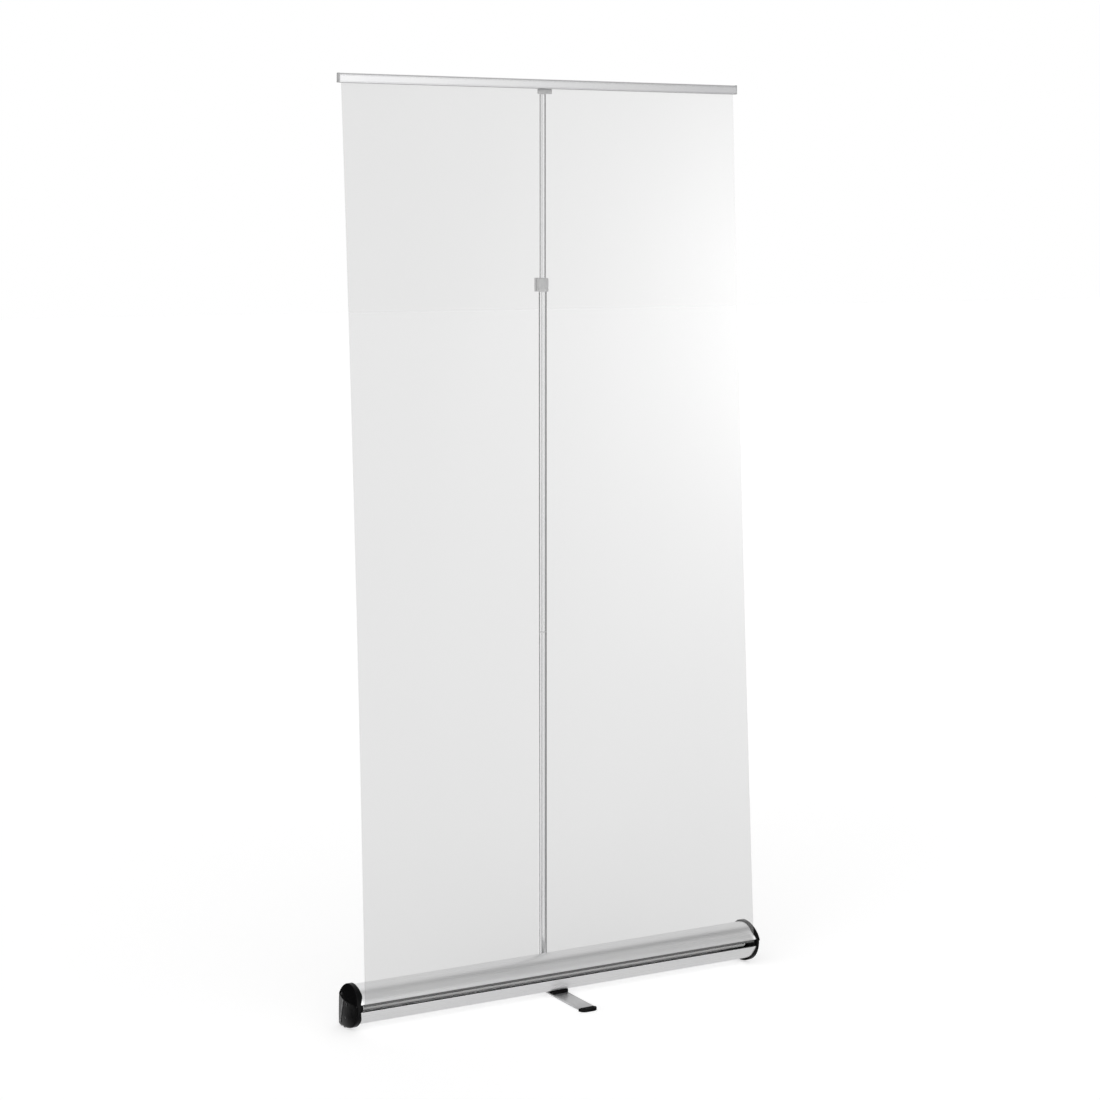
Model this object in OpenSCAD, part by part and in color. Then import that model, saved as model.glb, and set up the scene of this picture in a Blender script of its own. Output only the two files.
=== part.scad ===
// Roll-up banner stand: a clear film screen pulled up out of a floor cassette
// and held by a clamp rail on a telescopic pole.
// X runs along the cassette, Y points to the back, Z is up, and the origin is
// on the floor under the middle of the cassette.

/* [Screen] */
// Width of the film
film_w = 1000; // [600:10:1200]
// Thickness of the film sheet
film_t = 0.8; // [0.6:0.1:1]
// Height of the top of the clamp rail above the floor
stand_h = 2052; // [1700:1:2200]
// Distance of the rail's clamping plane behind the cassette's middle
rail_y = 54; // [48:1:56]
// Outer radius of the film that is left on the roller
roll_r = 19; // [17:0.5:22]

/* [Cassette] */
// Length of the aluminium profile
case_l = 1018; // [1014:2:1230]
// Height of the profile's widest line above the floor
nose_z = 56; // [54:1:58]
// Half the depth of the profile
case_a = 45.5; // [44:0.5:47]
// Height of the profile's crest above its widest line
case_b = 40; // [39:0.5:42]
// Wall thickness of the profile
case_wall = 1.8; // [1.4:0.1:2.2]
// Height of the slot's lower edge
slot_z0 = 48; // [47:0.5:49]
// Height of the slot's upper edge
slot_z1 = 63.5; // [62.5:0.5:64]
// Thickness of each end cap outside the profile
cap_t = 10; // [9:0.5:14]

/* [Foot] */
// Length of the foot with its end caps
foot_l = 294; // [260:2:340]
// Width of the foot
foot_w = 42; // [36:1:50]
// Thickness of the aluminium bar
foot_t = 4; // [3:0.5:5]

/* [Pole] */
// Distance of the pole's axis behind the cassette's middle
pole_y = 67; // [65:0.5:68]
// Outer radius of the lower tubes
tube_r = 9; // [8.5:0.1:10]
// Wall thickness of every tube
tube_wall = 1.2; // [1:0.1:1.4]
// Outer radius of the sliding upper tube
upper_r = 7; // [6.5:0.1:7.2]
// Height of the joint between the two lower tubes
joint_z = 812; // [700:1:900]
// Height of the lower tubes' top end
clamp_z = 1600; // [1500:1:1620]

/* [Hidden] */
$fn = 48;
EPS = 0.01;

// colours
ANODISED = "silver";
BLACK = [0.06, 0.06, 0.07];
GREY = [0.55, 0.55, 0.56];
STEEL = [0.7, 0.71, 0.73];
CLEAR = [0.85, 0.87, 0.88, 0.5];

// cassette section
case_mid_y = -0.5;         // the section's middle line
case_rear_y = 45;          // flat rear wall
case_floor_z = 12;         // flat underside
case_rear_r = 6;           // lower rear corner
case_lower_b = nose_z - case_floor_z;
half_case = case_l / 2;

// caps
cap_grow = 3;              // the rim stands this far proud of the profile
cap_floor_z = 1.2;         // the cap's underside; the pads carry it
cap_rear_r = 4;
cap_mid_y = 6;             // middle of the cap's domed top
cap_rise = 42.5;           // height of the cap's top above its widest line
cap_toe_y = 20;            // where the cap's lower front meets its flat underside
wrap_l = 8;                // part of the rim that overlaps the profile's end
plug_t = 5;                // web that closes the profile's end
flange_l = 7;              // flange that lines the profile's end
half_stand = half_case + cap_t;
strip_half = half_case - flange_l - 0.3;
screws = [[10, 26], [30, 72]];   // (y, z) of each cap's screws
pad_r = 4;                 // soft pads under each cap
pad_front_y = 22;
pad_rear_y = 37;

// roller
roller_y = 6;
roller_z = 55;
roller_r = 15;
roller_wall = 1.5;
shaft_r = 4;
shaft_end_x = -160;        // inner end of the spring's fixed shaft
idler_l = 40;
roller_half = film_w / 2;
plug_flange = 2;
pin_play = 0.05;           // radial play of everything that turns on a pin

// film path
rail_h = 21;
rail_z0 = stand_h - rail_h;
lip_y = -case_a - 1.5;     // where the film leaves the slot
lip_z = slot_z1 - 3.5;
film_top_z = rail_z0 + 13;

// pole
socket_floor_z = 26;
socket_top_z = 70;
sleeve_l = 120;
hook_top_z = rail_z0 - 0.3;
hook_h = 11;
hook_plate_t = 6;          // front plate of the hook, under the rail
hook_boss_r = 9.5;         // boss round the upper tube's end
upper_low_z = clamp_z - 150;
bush_l = 30;

// clamp on the pole
collar_r = 13;
collar_h = 31;
collar_z = clamp_z - 21;
ear_h = 13;                // ear half-way up the collar, for the lever's pin
lever_pin_x = 15;
lever_pin_y = pole_y + 17.5;
lever_pin_r = 2;
ear_r = 5;

// clamp rail
rail_half = film_w / 2 + 5;
rail_cap_t = 3;
bead_r = 1.8;
bead_z = stand_h - 3.6;
knuckle_r = 3.4;
knuckle_bore = 1.86;
mouth_low = -28;           // the knuckle's mouth, from the web's underside
mouth_high = 66;           // to where it stops when the jaw is open
jaw_y = rail_y - 6;        // front face of the rail
back_y = rail_y + 6;       // rear face of the rail
rail_wall = 1.4;

// ---------- helpers ----------

// cylinder along X from x0 to x1 at (y, z)
module xrod(r, x0, x1, y, z) {
    translate([x0, y, z]) rotate([0, 90, 0]) cylinder(r = r, h = x1 - x0);
}

// extrudes a section drawn in (Y, Z) along X from x0 to x1
module along_x(x0, x1) {
    translate([x0, 0, 0]) rotate([90, 0, 90]) linear_extrude(x1 - x0) children();
}

// points of an elliptic arc in (Y, Z) from angle a0 to a1
function arc(cy, cz, ry, rz, a0, a1, n) =
    [for (i = [0:n]) let (t = a0 + (a1 - a0) * i / n)
        [cy + ry * cos(t), cz + rz * sin(t)]];

// bull-nosed section: round crest and nose, flat underside and rear wall,
// moved outward by g, with its underside at floor_z
function case_points(g, floor_z, rear_r) = let (
    cy = case_mid_y,
    rear = case_rear_y + g)
    concat(
        arc(cy, nose_z, rear - cy, case_b + g, 0, 90, 16),
        arc(cy, nose_z, case_a + g, case_b + g, 95, 180, 17),
        arc(cy, nose_z, case_a + g, nose_z - floor_z, 185, 270, 17),
        arc(rear - rear_r, floor_z + rear_r, rear_r, rear_r, 270, 360, 8));

module case_outer() {
    polygon(case_points(0, case_floor_z, case_rear_r));
}

module case_inner(play = 0) {
    polygon(case_points(-case_wall - play, case_floor_z + case_wall + play, case_rear_r - case_wall));
}

// the cap's rim stands round the section: a domed top, and in front below a
// plain arc that runs down to the floor
module cap_outline() {
    rear = case_rear_y + cap_grow;
    nose = case_mid_y - case_a - cap_grow;
    polygon(concat(
        arc(cap_mid_y, nose_z, rear - cap_mid_y, cap_rise, 0, 90, 16),
        arc(cap_mid_y, nose_z, cap_mid_y - nose, cap_rise, 95, 180, 17),
        arc(cap_toe_y, nose_z, cap_toe_y - nose, nose_z - cap_floor_z, 185, 270, 17),
        arc(rear - cap_rear_r, cap_floor_z + cap_rear_r, cap_rear_r, cap_rear_r, 270, 360, 8)));
}

// pan-head screw along +X with its head's outer face at x
module end_screw(x, y, z) {
    difference() {
        union() {
            xrod(3.6, x - 2.2, x, y, z);
            xrod(1.9, x - 14, x - 2, y, z);
        }
        translate([x, y, z]) cube([2, 0.9, 4.4], center = true);
        translate([x, y, z]) cube([2, 4.4, 0.9], center = true);
    }
}

// ---------- cassette ----------

module cassette_profile() {
    slot_depth = 30;
    color(ANODISED) difference() {
        along_x(-half_case, half_case) difference() {
            case_outer();
            case_inner();
            translate([-case_a - slot_depth / 2, slot_z0])
                square([slot_depth, slot_z1 - slot_z0]);
        }
        // hole for the foot's pivot bolt
        translate([0, 0, case_floor_z - 1]) cylinder(r = 4.1, h = case_wall + 2);
        // holes for the socket's screws
        for (s = [-1, 1]) translate([s * 22, case_rear_y + 1, 40])
            rotate([90, 0, 0]) cylinder(r = 2, h = case_wall + 2);
    }
}

// soft strip inside the slot's upper lip, which the film slides round: a lip
// under the wall's edge and a flange up behind the wall
module slot_guide_strip() {
    color(BLACK) along_x(-strip_half, strip_half) slot_strip(slot_z1 - 1.4, slot_z1 - 1.4, slot_z1 + 3);
}

// soft strip inside the slot's lower lip
module slot_edge_strip() {
    color(BLACK) along_x(-strip_half, strip_half) slot_strip(slot_z0, slot_z0 - 3, slot_z0 + 1.4);
}

// L-section: the lip's lower edge is at lip_z0, the whole runs from z0 to z1
module slot_strip(lip_z0, z0, z1) {
    difference() {
        union() {
            translate([-case_a - 0.3, lip_z0]) square([3.8, 1.4]);
            translate([-case_a + 1.2, z0]) square([2.3, z1 - z0]);
        }
        difference() {
            case_outer();
            case_inner();
            translate([-case_a - 5, slot_z0]) square([10, slot_z1 - slot_z0]);
        }
    }
}

// right-hand cap; the left one is its mirror image
module end_cap() {
    difference() {
        union() {
            along_x(half_case, half_stand) cap_outline();
            // the rim's overlap, open in front of the slot
            along_x(half_case - wrap_l, half_case + EPS) difference() {
                cap_outline();
                polygon(case_points(0.05, case_floor_z - 0.05, case_rear_r));
                translate([-case_a - 10, slot_z0 - 7]) square([30, slot_z1 - slot_z0 + 14]);
            }
            along_x(half_case - plug_t, half_case + EPS) case_inner(0.15);
            along_x(half_case - flange_l, half_case) difference() {
                case_inner(0.15);
                case_inner(2.4);
            }
        }
        // seat of the shaft
        xrod(shaft_r + 0.02, half_case - flange_l - 1, half_case + 4, roller_y, roller_z);
        // seats of the screws
        for (at = screws) {
            xrod(3.8, half_stand - 2.6, half_stand + 1, at[0], at[1]);
            xrod(1.9, half_stand - 15, half_stand, at[0], at[1]);
        }
        // seats of the floor pads
        for (y = [pad_front_y, pad_rear_y])
            translate([half_case + cap_t / 2, y, cap_floor_z - 1])
                cylinder(r = pad_r, h = 2);
    }
}

module end_cap_right() {
    color(BLACK) end_cap();
}

module end_cap_left() {
    color(BLACK) mirror([1, 0, 0]) end_cap();
}

module end_cap_screws() {
    color(STEEL) for (m = [0, 1]) mirror([m, 0, 0])
        for (at = screws) end_screw(half_stand - 0.4, at[0], at[1]);
}

module floor_pads() {
    color(BLACK) for (s = [-1, 1]) for (y = [pad_front_y, pad_rear_y])
        translate([s * (half_case + cap_t / 2), y, 0])
            cylinder(r = pad_r - 0.05, h = cap_floor_z + 0.95);
}

// ---------- roller inside the cassette ----------

module spring_shaft() {
    color(STEEL) xrod(shaft_r, -half_case - 4, shaft_end_x, roller_y, roller_z);
}

module idler_pin() {
    color(STEEL) xrod(shaft_r, half_case - idler_l, half_case + 4, roller_y, roller_z);
}

// one ring of the spring's wire, across the coil at angle t
function spring_ring(t, x, coil_r, wire_r, sides) =
    [for (j = [0:sides - 1]) let (
        a = 360 * j / sides,
        r = coil_r + wire_r * cos(a))
        [x + wire_r * sin(a), roller_y + r * cos(t), roller_z + r * sin(t)]];

module torsion_spring() {
    turns = 12;
    per_turn = 10;
    sides = 5;
    coil_r = 9;
    wire_r = 1.2;
    x0 = -430;
    pitch = 20;
    rings = turns * per_turn;
    points = [for (i = [0:rings]) each
        spring_ring(360 * i / per_turn, x0 + pitch * i / per_turn, coil_r, wire_r, sides)];
    walls = [for (i = [0:rings - 1]) for (j = [0:sides - 1]) let (
        k = (j + 1) % sides,
        here = i * sides,
        next = here + sides)
        each [[here + j, here + k, next + k], [here + j, next + k, next + j]]];
    first = [for (j = [0:sides - 1]) sides - 1 - j];
    last = [for (j = [0:sides - 1]) rings * sides + j];
    color(STEEL) polyhedron(points, concat([first], walls, [last]));
}

module roller_tube() {
    color(ANODISED) difference() {
        xrod(roller_r, -roller_half, roller_half, roller_y, roller_z);
        xrod(roller_r - roller_wall, -roller_half - 1, roller_half + 1, roller_y, roller_z);
    }
}

module roller_plug(x_out, dir) {
    bore_r = shaft_r + pin_play;
    translate([x_out, 0, 0]) mirror([dir < 0 ? 1 : 0, 0, 0]) difference() {
        union() {
            xrod(roller_r, -plug_flange, 0, roller_y, roller_z);
            xrod(roller_r - roller_wall - 0.05, -30, -plug_flange + EPS, roller_y, roller_z);
        }
        xrod(bore_r, -31, 1, roller_y, roller_z);
    }
}

module roller_plug_left() {
    color(BLACK) roller_plug(-roller_half - plug_flange, -1);
}

module roller_plug_right() {
    color(BLACK) roller_plug(roller_half + plug_flange, 1);
}

module film_roll() {
    color(CLEAR) difference() {
        xrod(roll_r, -roller_half, roller_half, roller_y, roller_z);
        xrod(roller_r, -roller_half - 1, roller_half + 1, roller_y, roller_z);
    }
}

// ---------- film ----------

// the sheet in the air, from the slot's upper lip to inside the clamp rail
module film() {
    h = film_t / 2;
    color(CLEAR) along_x(-film_w / 2, film_w / 2) polygon([
        [lip_y - h, lip_z], [lip_y + h, lip_z],
        [rail_y + h, rail_z0], [rail_y + h, film_top_z],
        [rail_y - h, film_top_z], [rail_y - h, rail_z0]]);
}

// the sheet between the roll and the slot's upper lip: it runs along a tangent
module film_feed() {
    gap = 0.2;
    away = norm([roller_y - lip_y, roller_z - lip_z]);
    r = roll_r + film_t / 2 + gap;
    tangent = sqrt(away * away - r * r);
    tilt = atan2(roller_z - lip_z, roller_y - lip_y) + asin(r / away);
    y1 = lip_y + tangent * cos(tilt);
    z1 = lip_z + tangent * sin(tilt);
    h = film_t / 2;
    z0 = lip_z - h - gap;
    color(CLEAR) along_x(-film_w / 2, film_w / 2) polygon([
        [lip_y - h, z0 - h], [lip_y - h, z0 + h],
        [y1, z1 + h], [y1, z1 - h]]);
}

// ---------- foot ----------

module foot_bar() {
    metal_l = foot_l - 2 * 11;
    color(ANODISED) translate([0, 0, 1]) difference() {
        translate([-foot_w / 2, -metal_l / 2, 0]) cube([foot_w, metal_l, foot_t]);
        translate([0, 0, -1]) cylinder(r = 4 + pin_play, h = foot_t + 2);
    }
}

// black cap over the bar's front end; the rear one is its mirror image
module foot_tip() {
    tip_l = 15;
    corner = 14;
    half_w = foot_w / 2 + 1;
    height = foot_t + 2.4;
    color(BLACK) difference() {
        hull() for (s = [-1, 1]) {
            translate([s * (half_w - corner), -foot_l / 2 + corner, 0])
                cylinder(r = corner, h = height - 1.2);
            translate([s * (half_w - corner), -foot_l / 2 + corner, 0])
                cylinder(r = corner - 1.4, h = height);
            translate([s * (half_w - 1), -foot_l / 2 + tip_l - 1, 0])
                cylinder(r = 1, h = height);
        }
        translate([-foot_w / 2 - 0.02, -foot_l / 2 + 11 - 0.02, 1 - 0.02])
            cube([foot_w + 0.04, tip_l, foot_t + 0.04]);
        translate([-half_w - 1, -foot_l / 2 + tip_l, -1])
            cube([2 * half_w + 2, 2 * corner, height + 2]);
    }
}

module foot_tip_front() {
    foot_tip();
}

module foot_tip_rear() {
    mirror([0, 1, 0]) foot_tip();
}

module foot_pivot_plate() {
    color(BLACK) difference() {
        translate([-foot_w / 2, -14, foot_t + 1.3]) cube([foot_w, 40, case_floor_z - foot_t - 1.3]);
        translate([0, 0, 0]) cylinder(r = 4.05, h = case_floor_z + 1);
    }
}

module foot_pivot_bolt() {
    color(STEEL) {
        translate([0, 0, 0.2]) cylinder(r = 4, h = case_floor_z + 9);
        translate([0, 0, 0.2]) cylinder(r = 6.5, h = 0.6);
    }
}

module foot_pivot_nut() {
    color(STEEL) translate([0, 0, case_floor_z + case_wall + 0.8]) difference() {
        cylinder(r = 7.5, h = 6, $fn = 6);
        translate([0, 0, -1]) cylinder(r = 4, h = 8);
    }
}

// ---------- pole ----------

module pole_socket() {
    color(BLACK) difference() {
        union() {
            translate([0, pole_y, 18]) cylinder(r = 13, h = socket_top_z - 18);
            translate([-11, case_rear_y + 0.1, 18]) cube([22, pole_y - case_rear_y, socket_top_z - 18]);
            translate([-32, case_rear_y + 0.1, 24]) cube([64, 4, 32]);
        }
        translate([0, pole_y, socket_floor_z]) cylinder(r = tube_r + pin_play, h = socket_top_z);
        for (s = [-1, 1]) translate([s * 22, case_rear_y + 8, 40])
            rotate([90, 0, 0]) cylinder(r = 2, h = 10);
    }
}

module socket_screws() {
    color(STEEL) for (s = [-1, 1]) translate([s * 22, case_rear_y + 6.2, 40])
        rotate([90, 0, 0]) difference() {
            union() {
                cylinder(r = 3.8, h = 2);
                cylinder(r = 2, h = 12);
            }
            cube([0.9, 4.6, 2], center = true);
            cube([4.6, 0.9, 2], center = true);
        }
}

module tube(r, z0, z1) {
    translate([0, pole_y, z0]) difference() {
        cylinder(r = r, h = z1 - z0);
        translate([0, 0, -1]) cylinder(r = r - tube_wall, h = z1 - z0 + 2);
    }
}

module pole_lower_tube() {
    color(ANODISED) tube(tube_r, socket_floor_z, joint_z);
}

module pole_middle_tube() {
    color(ANODISED) tube(tube_r, joint_z + 1, clamp_z);
}

// plug that joins the two lower tubes
module pole_joint_sleeve() {
    color(GREY) translate([0, pole_y, 0]) {
        translate([0, 0, joint_z - sleeve_l / 2])
            cylinder(r = tube_r - tube_wall - 0.02, h = sleeve_l);
        translate([0, 0, joint_z + 0.05]) cylinder(r = tube_r + 0.3, h = 0.9);
    }
}

module clamp_collar() {
    bore = upper_r + pin_play;
    ear_z = collar_z + (collar_h - ear_h) / 2;
    color(GREY) difference() {
        union() {
            translate([0, pole_y, collar_z]) cylinder(r = collar_r, h = collar_h);
            // ear for the lever's pin
            hull() {
                translate([lever_pin_x, lever_pin_y, ear_z]) cylinder(r = ear_r, h = ear_h, $fn = 32);
                translate([5, pole_y + 5, ear_z]) cylinder(r = 4, h = ear_h, $fn = 32);
            }
        }
        translate([0, pole_y, collar_z - 1]) cylinder(r = tube_r + 0.02, h = clamp_z - collar_z + 1.05);
        translate([0, pole_y, collar_z - 1]) cylinder(r = bore, h = collar_h + 2);
        translate([lever_pin_x, lever_pin_y, collar_z - 1]) cylinder(r = lever_pin_r, h = collar_h + 2);
        // pinch slit
        translate([-1, pole_y, clamp_z + 1]) cube([2, collar_r + 3, collar_h]);
    }
}

module clamp_pin() {
    color(STEEL) translate([lever_pin_x, lever_pin_y, collar_z]) cylinder(r = lever_pin_r, h = collar_h);
}

// forked cam lever that lies across the back of the collar when it is closed
module clamp_lever() {
    arm_x0 = -8;
    arm_x1 = 6.5;
    arm_t = 5.2;
    tine_h = (collar_h - ear_h) / 2 - 0.4;
    color(GREY) difference() {
        union() {
            translate([arm_x0, lever_pin_y - arm_t / 2, collar_z]) cube([arm_x1 - arm_x0, arm_t, collar_h]);
            // thumb end
            translate([arm_x0, lever_pin_y + 0.5, collar_z]) cylinder(r = 3, h = collar_h);
            for (z = [collar_z, collar_z + collar_h - tine_h]) {
                translate([lever_pin_x, lever_pin_y, z]) cylinder(r = 4, h = tine_h);
                translate([arm_x1 - EPS, lever_pin_y - arm_t / 2, z])
                    cube([lever_pin_x - arm_x1, arm_t, tine_h]);
            }
        }
        translate([lever_pin_x, lever_pin_y, collar_z - 1])
            cylinder(r = lever_pin_r + pin_play, h = collar_h + 2);
    }
}

module pole_upper_tube() {
    color(ANODISED) tube(upper_r, upper_low_z, hook_top_z - hook_h + 6);
}

// guide on the upper tube's lower end, inside the middle tube
module pole_upper_bush() {
    color(GREY) translate([0, pole_y, upper_low_z - 4]) {
        cylinder(r = tube_r - tube_wall - 0.06, h = 3.95);
        cylinder(r = upper_r - tube_wall - 0.02, h = bush_l);
    }
}

// block under the rail's middle: a wide front plate, a boss round the tube's
// end and an upstand behind the rail
module pole_hook() {
    z0 = hook_top_z - hook_h;
    front_y = rail_y + 1.2;
    color(GREY) difference() {
        union() {
            translate([-17, front_y, z0]) cube([34, hook_plate_t, hook_h]);
            translate([-hook_boss_r, front_y + EPS, z0]) cube([2 * hook_boss_r, pole_y - front_y, hook_h]);
            translate([0, pole_y, z0]) cylinder(r = hook_boss_r, h = hook_h);
            translate([-hook_boss_r, back_y + 0.3, z0 + hook_h - EPS]) cube([2 * hook_boss_r, 3.2, 13]);
        }
        translate([0, pole_y, z0 - 1]) cylinder(r = upper_r + 0.02, h = 7.05);
    }
}

// ---------- clamp rail ----------

// rear half: a flat strip with a clamping lip at its foot and a hinge bead at
// its head
module rail_back() {
    color(ANODISED) {
        along_x(-rail_half, rail_half) union() {
            translate([back_y - rail_wall, rail_z0]) square([rail_wall, rail_h]);
            translate([rail_y + 0.55, rail_z0]) square([back_y - rail_y - 0.56, rail_wall]);
            translate([rail_y + 0.55, rail_z0]) square([1.2, 5]);
            translate([rail_y + 1.4, bead_z - 0.7]) square([back_y - rail_y - 1.5, 1.4]);
            translate([rail_y, bead_z]) circle(r = bead_r);
        }
    }
}

// front half: the visible strip, whose knuckle turns round the bead
module rail_front() {
    x1 = rail_half - 0.3;
    color(ANODISED) along_x(-x1, x1) difference() {
        union() {
            translate([jaw_y, rail_z0]) square([rail_wall, rail_h - 0.6]);
            translate([jaw_y, rail_z0]) square([rail_y - jaw_y - 2.2, rail_wall]);
            translate([rail_y, bead_z]) circle(r = knuckle_r);
            translate([jaw_y, bead_z - 1]) square([rail_y - jaw_y - 2, 2]);
        }
        translate([rail_y, bead_z]) circle(r = knuckle_bore);
        // mouth of the knuckle, wide enough for the web as the jaw swings
        translate([rail_y, bead_z]) polygon([
            [0, 0],
            [8 * cos(mouth_low), 8 * sin(mouth_low)],
            [12, 8],
            [8 * cos(mouth_high), 8 * sin(mouth_high)]]);
    }
}

// soft strip on the front lip that grips the film
module rail_grip_strip() {
    x1 = rail_half - 0.6;
    color(GREY) along_x(-x1, x1) translate([rail_y - 2.15, rail_z0]) square([1.6, 5]);
}

module rail_cap() {
    color(GREY) {
        translate([rail_half + 0.01, jaw_y, rail_z0]) cube([rail_cap_t - 0.01, back_y - jaw_y, rail_h]);
        translate([rail_half - 12, rail_y + 2.2, rail_z0 + 6]) cube([12.02, 2.2, 8]);
    }
}

module rail_cap_right() {
    rail_cap();
}

module rail_cap_left() {
    mirror([1, 0, 0]) rail_cap();
}

cassette_profile();
slot_guide_strip();
slot_edge_strip();
end_cap_left();
end_cap_right();
end_cap_screws();
floor_pads();
spring_shaft();
idler_pin();
torsion_spring();
foot_pivot_plate();
foot_pivot_bolt();
foot_pivot_nut();
pole_socket();
socket_screws();
pole_lower_tube();
pole_joint_sleeve();
pole_middle_tube();
clamp_collar();
clamp_pin();
film();
film_feed();
foot_bar();
foot_tip_front();
foot_tip_rear();
roller_tube();
roller_plug_left();
roller_plug_right();
film_roll();
clamp_lever();
pole_upper_tube();
pole_upper_bush();
pole_hook();
rail_back();
rail_cap_left();
rail_cap_right();
rail_front();
rail_grip_strip();
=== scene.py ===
import math

import bmesh
import bpy
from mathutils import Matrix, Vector


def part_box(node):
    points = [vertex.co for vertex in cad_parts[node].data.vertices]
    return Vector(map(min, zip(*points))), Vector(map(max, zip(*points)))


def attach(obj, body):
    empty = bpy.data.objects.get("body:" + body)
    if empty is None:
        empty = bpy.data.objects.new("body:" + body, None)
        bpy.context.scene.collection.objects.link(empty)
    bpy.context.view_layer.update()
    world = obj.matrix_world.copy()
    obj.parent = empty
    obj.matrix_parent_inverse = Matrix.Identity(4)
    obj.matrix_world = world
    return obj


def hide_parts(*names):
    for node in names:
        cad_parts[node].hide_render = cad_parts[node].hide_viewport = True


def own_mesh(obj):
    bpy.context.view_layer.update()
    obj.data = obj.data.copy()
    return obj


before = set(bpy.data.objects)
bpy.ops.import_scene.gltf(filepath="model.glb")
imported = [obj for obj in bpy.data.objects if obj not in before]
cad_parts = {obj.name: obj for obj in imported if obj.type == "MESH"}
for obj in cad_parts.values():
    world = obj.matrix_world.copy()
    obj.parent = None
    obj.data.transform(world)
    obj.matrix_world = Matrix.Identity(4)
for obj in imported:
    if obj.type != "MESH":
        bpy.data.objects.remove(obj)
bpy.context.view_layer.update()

# Lengths below are in millimetres unless a name says otherwise; MM turns them into metres.
MM = 0.001

# -------------------- places


def box_mm(node):
    low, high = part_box(node)
    return low / MM, high / MM


# camera: its place in metres, its turns in degrees, its lens and sensor in millimetres
CAMERA_AT = (-2.765, -4.857, 1.730)
CAMERA_YAW = 29.48
CAMERA_PITCH = 3.06
CAMERA_LENS = 82.5
CAMERA_SENSOR = 36.0
CAMERA_SHIFT_Y = -0.1737

# cassette section
PROFILE_LOW, PROFILE_HIGH = box_mm("cassette_profile")
HALF_CASE = PROFILE_HIGH.x
CASE_FLOOR = PROFILE_LOW.z
MID_Y = -0.5
NOSE_Z = 56.0
WALL = 1.8
REAR_R = 6.0
SLOT_LOW = 48.0
SLOT_HIGH = 63.5

# end caps
CAP_LOW, CAP_HIGH = box_mm("end_cap_right")
HALF_STAND = CAP_HIGH.x
CAP_GROW = 3.0
CAP_FLOOR = CAP_LOW.z
CAP_MID_Y = 6.0
CAP_TOE_Y = 20.0
CAP_REAR_R = 4.0
SCREWS = ((10.0, 26.0), (30.0, 72.0))
PAD_Y = (22.0, 37.0)

# roller and film
ROLLER_Y = 6.0
ROLLER_Z = 55.0
FILM_LOW, FILM_HIGH = box_mm("film")
HALF_FILM = FILM_HIGH.x
LIP_Y = FILM_LOW.y + 0.4
LIP_Z = FILM_LOW.z
ROLL_R = box_mm("film_roll")[1].z - ROLLER_Z

# pole, clamp and rail
POLE_Y = 67.0
TUBE_WALL = 1.2
COLLAR_LOW, COLLAR_HIGH = box_mm("clamp_collar")
COLLAR_R = 13.0
PIN_X = 15.0
PIN_Y = 84.5
EAR_HALF = 6.5
HOOK_LOW, HOOK_HIGH = box_mm("pole_hook")
RAIL_Y = 54.0
FRONT_LOW, FRONT_HIGH = box_mm("rail_front")
BACK_LOW, BACK_HIGH = box_mm("rail_back")
BEAD_Z = 2048.4
BEAD_R = 1.8

# -------------------- outlines


def arc(cu, cv, ru, rv, start, end, count):
    """Points of an elliptic arc, both ends included."""
    points = []
    for i in range(count + 1):
        t = math.radians(start + (end - start) * i / count)
        points.append((cu + ru * math.cos(t), cv + rv * math.sin(t)))
    return points


def rounded(u0, v0, u1, v1, r, count=5):
    """Rectangle with round corners, anticlockwise."""
    points = []
    corners = ((u1 - r, v0 + r, 270), (u1 - r, v1 - r, 0), (u0 + r, v1 - r, 90), (u0 + r, v0 + r, 180))
    for cu, cv, start in corners:
        points += arc(cu, cv, r, r, start, start + 90, count)
    return points


def circle(cu, cv, r, sides):
    """Regular polygon on a circle, anticlockwise."""
    return arc(cu, cv, r, r, 0, 360 - 360 / sides, sides - 1)


def offset(outline, distance):
    """A smooth closed outline moved outward by a distance along its corner normals."""
    count = len(outline)
    moved = []
    for i, (u, v) in enumerate(outline):
        au, av = outline[i - 1]
        bu, bv = outline[(i + 1) % count]
        first = Vector((v - av, au - u)).normalized()
        second = Vector((bv - v, u - bu)).normalized()
        normal = first + second
        if normal.length > 1e-9:
            normal.normalize()
            normal /= max(0.35, normal.dot(first))
        moved.append((u + normal.x * distance, v + normal.y * distance))
    return moved


def section_outline(grow, floor_z, rear_r, steps=28):
    """The bull-nosed cassette section (y, z), from its lower rear corner up and round the crest."""
    rear = PROFILE_HIGH.y + grow
    a = MID_Y - PROFILE_LOW.y + grow
    b = PROFILE_HIGH.z - NOSE_Z + grow
    return (
        arc(rear - rear_r, floor_z + rear_r, rear_r, rear_r, 270, 360, 10)
        + arc(MID_Y, NOSE_Z, rear - MID_Y, b, 0, 90, steps)
        + arc(MID_Y, NOSE_Z, a, b, 90, 180, steps)[1:]
        + arc(MID_Y, NOSE_Z, a, NOSE_Z - floor_z, 180, 270, steps)[1:]
    )


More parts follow.
